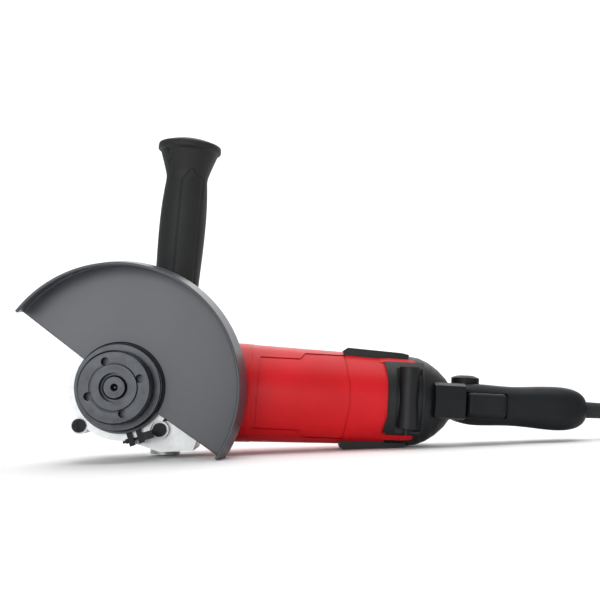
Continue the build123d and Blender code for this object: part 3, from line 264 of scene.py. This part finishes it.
# %% Finishes on the solids
FINISHES = {
    "cast": (CAST_ALUMINIUM, ["gear_housing", "bearing_flange"]),
    "paint": (GUARD_PAINT, ["guard_shell"]),
    "blackened": (BLACKENED_STEEL, ["spindle", "inner_flange", "locking_nut"]),
    "oxide": (
        BLACK_SCREW_STEEL,
        [
            "guard_collar", "guard_clamp_lever", "guard_clamp_screw", "rear_cover_screw_upper",
            "rear_cover_screw_lower",
        ],
    ),
    "bright": (
        BRIGHT_STEEL,
        ["side_handle_stud", "armature_shaft", "pinion", "crown_gear", "handle_screw_1", "handle_screw_2"],
    ),
    "laminations": (LAMINATIONS, ["stator_core", "armature_core"]),
    "copper": (COPPER, ["field_coil_upper", "field_coil_lower", "armature_winding", "commutator"]),
    "brass": (BRASS, ["brush_holder_upper", "brush_holder_lower", "plug_pin_1", "plug_pin_2"]),
    "carbon": (CARBON, ["carbon_brush_upper", "carbon_brush_lower"]),
    "red": (RED_NYLON, ["motor_housing"]),
    "black": (
        BLACK_NYLON, ["rear_cover_upper", "rear_cover_lower", "switch_module", "spindle_lock_button", "fan"],
    ),
    "charcoal": (GREY_NYLON, ["handle_shell_upper", "handle_shell_lower", "trigger", "release_button"]),
    "rubber": (SOFT_RUBBER, ["side_handle_grip", "pad_upper", "pad_lower", "strain_relief", "plug_body"]),
    "cord": (CORD_RUBBER, ["cord_tube", "cord_coil"]),
}
for number in range(1, 5):
    FINISHES["oxide"][1].append(f"flange_screw_{number}")
for place in ("spindle", "nose", "front", "rear"):
    FINISHES["bright"][1].extend([f"{place}_bearing_outer", f"{place}_bearing_inner"])


def dress(obj, material):
    """Puts one material in a mesh's only slot."""
    obj.data.materials.clear()
    obj.data.materials.append(material)


dressed = 0
for material, names in FINISHES.values():
    for name in names:
        dress(nodes[name], material)
        dressed += 1
print("dressed", dressed, "of", len(nodes))

# %% [markdown]
# ## The cord
# A mains lead keeps its length. It leaves the strain relief along the handle's axis, sinks to the floor
# in a long curve and runs to a neat coil, where the length that isn't in use is put away. One NURBS curve
# follows the route, and the coil's turns are worked out lane by lane, each lane a cord's width from the
# last.

# %% The cord's route and coil
CORD_R = 0.004
CORD_ROUTE = [
    (0.3448, 0.0, 0.01924), (0.366, 0.0, 0.0172), (0.389, 0.005, 0.011), (0.415, 0.018, 0.0055),
    (0.440, 0.0295, 0.004), (0.4652, 0.032, 0.004),
]
COIL_CENTRE = (0.486, -0.020)
COIL_LANES = [
    (0.052, 0.004), (0.044, 0.004), (0.036, 0.004), (0.036, 0.0114), (0.044, 0.0114), (0.036, 0.0184),
    (0.044, 0.0184), (0.052, 0.013),
]
POINTS_A_TURN = 18
LANE_CHANGE = 0.25  # the part of a turn in which the cord moves to its next lane
LAST_HALF = POINTS_A_TURN // 2


def coil_points():
    """Turns about the coil's centre: radius and height hold in a lane, then ease into the next."""
    points = []
    for turn in range(len(COIL_LANES)):
        here = COIL_LANES[turn]
        after = COIL_LANES[min(turn + 1, len(COIL_LANES) - 1)]
        steps = POINTS_A_TURN if turn + 1 < len(COIL_LANES) else LAST_HALF
        for step in range(steps):
            share = step / POINTS_A_TURN
            ease = max(0.0, (share - 1 + LANE_CHANGE) / LANE_CHANGE)
            ease = ease * ease * (3 - 2 * ease)
            radius = here[0] + (after[0] - here[0]) * ease
            height = here[1] + (after[1] - here[1]) * ease
            angle = math.pi / 2 - 2 * math.pi * share
            x = COIL_CENTRE[0] + radius * math.cos(angle)
            y = COIL_CENTRE[1] + radius * math.sin(angle)
            points.append((x, y, height))
    return points


TAIL = [
    (COIL_CENTRE[0] - 0.004, COIL_CENTRE[1] - 0.052, 0.013),
    (COIL_CENTRE[0] - 0.018, COIL_CENTRE[1] - 0.052, 0.013),
]

cord_curve = bpy.data.curves.new("mains_cord", "CURVE")
cord_curve.dimensions = "3D"
cord_curve.bevel_depth = CORD_R
cord_curve.bevel_resolution = 4
cord_curve.resolution_u = 6
cord_curve.use_fill_caps = True
route = [Vector(p) + FLOOR_FRAME for p in CORD_ROUTE + coil_points() + TAIL]
spline = cord_curve.splines.new("NURBS")
spline.points.add(len(route) - 1)
spline.points.foreach_set("co", [value for p in route for value in (*p, 1.0)])
spline.order_u = 3
spline.use_endpoint_u = True
spline.resolution_u = 6
cord_curve.materials.append(CORD_RUBBER)
cord = bpy.data.objects.new("mains_cord", cord_curve)
bpy.context.scene.collection.objects.link(cord)
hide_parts("cord_tube", "cord_coil")
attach(cord, "machine")
print("cord control points", len(route))

# %% [markdown]
# ## Surfaces worked out on a grid
# The solids from the drawing have crisp corners. Real pressed and moulded pieces have small radii that
# catch the light, so the pieces nearest the eye are made again as grids of points: one direction runs
# along an outline whose corners are rounded, the other runs round the piece. One function turns such a
# grid into a mesh.


# %% Grid helpers
def rounded(corners, radius, steps=6):
    """An outline with rounded corners: each corner p becomes the curve (1-t)^2 a + 2t(1-t) p + t^2 b."""
    corners = np.asarray(corners, float)
    before, here, after = corners[:-2], corners[1:-1], corners[2:]
    into, out = here - before, after - here
    length_in = np.linalg.norm(into, axis=1, keepdims=True)
    length_out = np.linalg.norm(out, axis=1, keepdims=True)
    reach = np.minimum(np.minimum(length_in, length_out) * 0.45, np.broadcast_to(radius, len(here))[:, None])
    start = here - into / length_in * reach
    end = here + out / length_out * reach
    t = np.linspace(0.0, 1.0, steps)[None, :, None]
    arcs = (1 - t) ** 2 * start[:, None] + 2 * t * (1 - t) * here[:, None] + t**2 * end[:, None]
    return np.vstack([corners[:1], arcs.reshape(-1, corners.shape[1]), corners[-1:]])


def respaced(path, spacing):
    """The same path with points an even distance apart, found by interpolating along its length."""
    along = np.concatenate([[0.0], np.cumsum(np.linalg.norm(np.diff(path, axis=0), axis=1))])
    places = np.linspace(0.0, along[-1], max(2, int(along[-1] / spacing)))
    return np.stack([np.interp(places, along, path[:, k]) for k in range(path.shape[1])], axis=1)


def grid_object(name, grid, material, capped=False):
    """A mesh from grid[row, column]: columns join up round the piece, rows run from one end to the other."""
    rows, columns = grid.shape[:2]
    i, j = np.meshgrid(np.arange(rows - 1), np.arange(columns), indexing="ij")
    beside = (j + 1) % columns
    quads = np.stack(
        [i * columns + j, (i + 1) * columns + j, (i + 1) * columns + beside, i * columns + beside], axis=-1
    ).reshape(-1, 4)
    faces = quads.tolist()
    if capped:
        faces += [list(range(columns)), list(range((rows - 1) * columns, rows * columns))[::-1]]
    mesh = bpy.data.meshes.new(name)
    mesh.from_pydata(to_world(grid.reshape(-1, 3)).tolist(), [], faces)
    shell = bmesh.new()
    shell.from_mesh(mesh)
    bmesh.ops.remove_doubles(shell, verts=shell.verts, dist=1e-6)
    bmesh.ops.recalc_face_normals(shell, faces=shell.faces)
    shell.to_mesh(mesh)
    shell.free()
    mesh.shade_smooth()
    mesh.materials.append(material)
    made = bpy.data.objects.new(name, mesh)
    bpy.context.scene.collection.objects.link(made)
    print(name, "faces", len(mesh.polygons))
    return made


def turned(profile, columns, along, across, origin):
    """A surface of revolution: origin + along * height + radius (across cos a + (along x across) sin a)."""
    angle = np.linspace(0.0, 2 * math.pi, columns, endpoint=False)
    along, across, origin = (np.asarray(v, float) for v in (along, across, origin))
    ring = across * np.cos(angle)[:, None] + np.cross(along, across) * np.sin(angle)[:, None]
    return origin + profile[:, None, 1:2] * along + profile[:, None, 0:1] * ring


# %% [markdown]
# ## The guard
# The real guard is pressed from one sheet: a flat plate, bent into a rim that flares a little towards the
# plate. The sheet's middle line is drawn once, its bend rounded, and the two faces of the sheet lie half
# a thickness to either side of it. Carrying that section round the spindle axis makes the guard. Where
# the flared corner would reach the floor the sweep starts later, so that the sheet is cut off just above
# it.

# %% The guard
GUARD_R = 81.8
GUARD_SHEET = 1.8
GUARD_PLATE = -44.4
GUARD_FRONT = -67.9
GUARD_FLARE = 3.6
GUARD_STEPS = 240
COLLAR_INNER_R = 28.3
COLLAR_R = 31.0
GUARD_CLEAR = 49.1  # the drop from the spindle axis to the cut just above the floor
GUARD_START = math.radians(-31.8)
GUARD_END = math.radians(145.5)

middle_r = GUARD_R - GUARD_SHEET / 2
bent_line = [(29.9, GUARD_PLATE), (middle_r + GUARD_FLARE, GUARD_PLATE), (middle_r, GUARD_FRONT)]
sheet_line = respaced(rounded(bent_line, 2.4, 9), 0.8)
lengthwise = np.gradient(sheet_line, axis=0)
lengthwise /= np.linalg.norm(lengthwise, axis=1, keepdims=True)
sideways = np.stack([-lengthwise[:, 1], lengthwise[:, 0]], axis=1) * GUARD_SHEET / 2
section = np.vstack([sheet_line + sideways, (sheet_line - sideways)[::-1]])
above_floor = REST_TILT - np.arcsin(np.minimum(1.0, GUARD_CLEAR / section[:, 0]))
first_angle = np.maximum(GUARD_START, above_floor)[None, :]
sweep_angle = first_angle + np.linspace(0.0, 1.0, GUARD_STEPS)[:, None] * (GUARD_END - first_angle)
guard_grid = np.stack(
    [
        section[None, :, 0] * np.cos(sweep_angle),
        np.broadcast_to(section[None, :, 1], (GUARD_STEPS, len(section))),
        section[None, :, 0] * np.sin(sweep_angle),
    ],
    axis=-1,
)
guard = grid_object("guard_pressing", guard_grid, GUARD_PAINT, capped=True)
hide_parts("guard_shell")
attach(guard, "guard")

plate_front = GUARD_PLATE - GUARD_SHEET / 2
plate_back = GUARD_PLATE + GUARD_SHEET / 2
collar_corners = [
    (COLLAR_INNER_R, plate_front), (COLLAR_R, plate_front), (COLLAR_R, plate_back),
    (COLLAR_INNER_R, plate_back), (COLLAR_INNER_R, plate_front),
]
collar_profile = rounded(collar_corners, 0.5)
collar = grid_object(
    "guard_collar_flange", turned(collar_profile, 120, (0, 1, 0), (1, 0, 0), (0, 0, 0)), GUARD_PAINT
)
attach(collar, "guard")

# %% [markdown]
# ## The side handle's grip
# The grip is moulded in one piece: a waist that swells for the palm, a flare that keeps the hand off the
# work, and a domed cap. Its outline is turned about the stud. The groove that borders the inlay and the
# two slots in the flare are then pressed into the surface: each point's radius is lowered by an amount
# worked out from how far the point lies from the groove's line.

# %% The side handle's grip
HANDLE_LEAN = math.radians(2.0)
BOSS = (26.8, 0.0, 46.2)
RIM_R = 22.8
grip_outline = [
    (0.0, 0.0), (14.2, 0.0), (15.0, 3.0), (15.3, 16.0), (15.7, 32.0), (16.3, 48.0), (16.7, 64.0),
    (16.7, 76.0), (16.4, 87.0), (15.6, 98.0), (14.7, 107.0), (16.6, 113.4), (20.8, 125.6), (RIM_R, 126.6),
    (RIM_R, 131.2), (12.0, 135.0), (0.0, 136.3),
]
grip_bends = [0.8, 2, 6, 6, 6, 6, 6, 6, 6, 4, 3, 0.8, 0.8, 1.6, 6]
grip_profile = respaced(rounded(grip_outline, grip_bends, 9), 0.62)
GRIP_COLUMNS = 200
grip_angle = np.linspace(0.0, 2 * math.pi, GRIP_COLUMNS, endpoint=False)[None, :]
radius, height = grip_profile[:, :1], grip_profile[:, 1:]
across = radius * np.cos(grip_angle)
outward = radius * np.sin(grip_angle)
border = [(-1.4, 16.0), (-1.4, 104.0), (5.8, 111.5), (13.0, 105.0), (13.0, 16.0)]


def distance_to_line(x, z, start, end):
    """Distance from points to a line's nearest point start + t (end - start), t kept between 0 and 1."""
    run_x, run_z = end[0] - start[0], end[1] - start[1]
    t = np.clip(((x - start[0]) * run_x + (z - start[1]) * run_z) / (run_x**2 + run_z**2), 0.0, 1.0)
    return np.hypot(x - start[0] - t * run_x, z - start[1] - t * run_z)


nearest = np.minimum.reduce([distance_to_line(across, height, a, b) for a, b in zip(border, border[1:])])
groove = 0.7 * np.exp(-((nearest / 0.55) ** 2)) * (outward < 0)
pressed = np.clip(radius - groove, 0.0, None) * np.ones_like(grip_angle)
for slot_turn in (-134.0, 46.0):
    off = np.angle(np.exp(1j * (grip_angle - math.radians(slot_turn)))) * np.maximum(radius, 1.0)
    inside = 1 / (1 + np.exp((np.abs(off) - 1.6) / 0.15)) * (np.abs(off) < 6)
    inside = inside / (1 + np.exp((109.0 - height) / 0.4)) / (1 + np.exp((height - 125.0) / 0.4))
    pressed = pressed - inside * np.clip(radius - 16.9, 0.0, None)
stud_along = np.array([math.sin(HANDLE_LEAN), 0.0, math.cos(HANDLE_LEAN)])
stud_across = np.array([math.cos(HANDLE_LEAN), 0.0, -math.sin(HANDLE_LEAN)])
grip_grid = (
    np.asarray(BOSS)
    + height[..., None] * stud_along
    + (pressed * np.cos(grip_angle))[..., None] * stud_across
    + (pressed * np.sin(grip_angle))[..., None] * np.array([0.0, 1.0, 0.0])
)
grip = grid_object("side_grip_moulding", grip_grid, SOFT_RUBBER)
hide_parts("side_handle_grip")
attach(grip, "side_handle")

# %% [markdown]
# ## The strain relief
# The relief is a rubber moulding turned about the cord. It tapers so that the cord bends gently where it
# leaves the handle.

# %% The strain relief
relief_outline = [(0, 318), (7.3, 318), (7.3, 320), (5.9, 320), (5.3, 346), (0, 346)]
relief_profile = rounded(relief_outline, [0.3, 0.3, 0.3, 0.8])
relief = grid_object(
    "strain_relief_moulding", turned(relief_profile, 64, (1, 0, 0), (0, 1, 0), (0, 0, 0)), SOFT_RUBBER
)
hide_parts("strain_relief")
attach(relief, "rear_handle")

# %% [markdown]
# ## The floor and the light
# The tool stands on a seamless white sweep. One broad softbox hangs over it, a second fills from the
# front left and a narrow strip behind draws the rim of light along the plastics. A large low panel in
# front is what the flat guard plate reflects, and a wash on the backdrop keeps it white behind the tool.

# %% Floor, backdrop and lights
floor_mesh = bpy.data.meshes.new("sweep")
SWEEP_HALF = 4.0
SWEEP_BACK = 1.6
SWEEP_RISE = 3.0
SWEEP_STEPS = 24
profile = [(-SWEEP_HALF, 0.0)]
profile += [
    (SWEEP_BACK + math.sin(t) * 0.8, 0.8 - math.cos(t) * 0.8)
    for t in (math.pi / 2 * i / SWEEP_STEPS for i in range(SWEEP_STEPS + 1))
]
profile += [(SWEEP_BACK + 0.8, SWEEP_RISE)]
corners = [(side * SWEEP_HALF, y, z) for y, z in profile for side in (-1, 1)]
faces = [(2 * i, 2 * i + 1, 2 * i + 3, 2 * i + 2) for i in range(len(profile) - 1)]
floor_mesh.from_pydata(corners, [], faces)
floor_mesh.shade_smooth()
floor = bpy.data.objects.new("sweep", floor_mesh)
bpy.context.scene.collection.objects.link(floor)
paper = finish_named("white_paper_sweep", {"Base Color": linear("F4F4F4"), "Roughness": 0.8})[0]
floor_mesh.materials.append(paper)

world = bpy.data.worlds.new("studio")
world.use_nodes = True
world.node_tree.nodes["Background"].inputs["Color"].default_value = (1.0, 1.0, 1.0, 1.0)
world.node_tree.nodes["Background"].inputs["Strength"].default_value = 0.48
bpy.context.scene.world = world


def softbox(name, place, aim, width, height, watts):
    """An area light at a place, turned so that it shines on a point."""
    data = bpy.data.lights.new(name, "AREA")
    data.shape = "RECTANGLE"
    data.size = width
    data.size_y = height
    data.energy = watts
    light = bpy.data.objects.new(name, data)
    bpy.context.scene.collection.objects.link(light)
    light.location = place
    light.rotation_euler = (Vector(aim) - Vector(place)).to_track_quat("-Z", "Y").to_euler()
    return light


AIM = (-0.02, 0.0, 0.06)
softbox("top_softbox", (0.1, 0.1, 1.3), AIM, 1.6, 1.0, 14.0)
softbox("front_fill", (-0.9, -1.2, 0.7), AIM, 0.9, 0.9, 3.0)
softbox("rear_strip", (0.4, 1.1, 0.9), AIM, 1.4, 0.3, 4.0)
softbox("plate_glow", (-0.45, -1.6, 0.25), AIM, 0.9, 0.7, 10.0)
softbox("backdrop_wash", (0.1, 0.9, 1.6), (0.0, 2.4, 0.8), 3.0, 0.5, 30.0)
bpy.context.scene.view_settings.view_transform = "Standard"
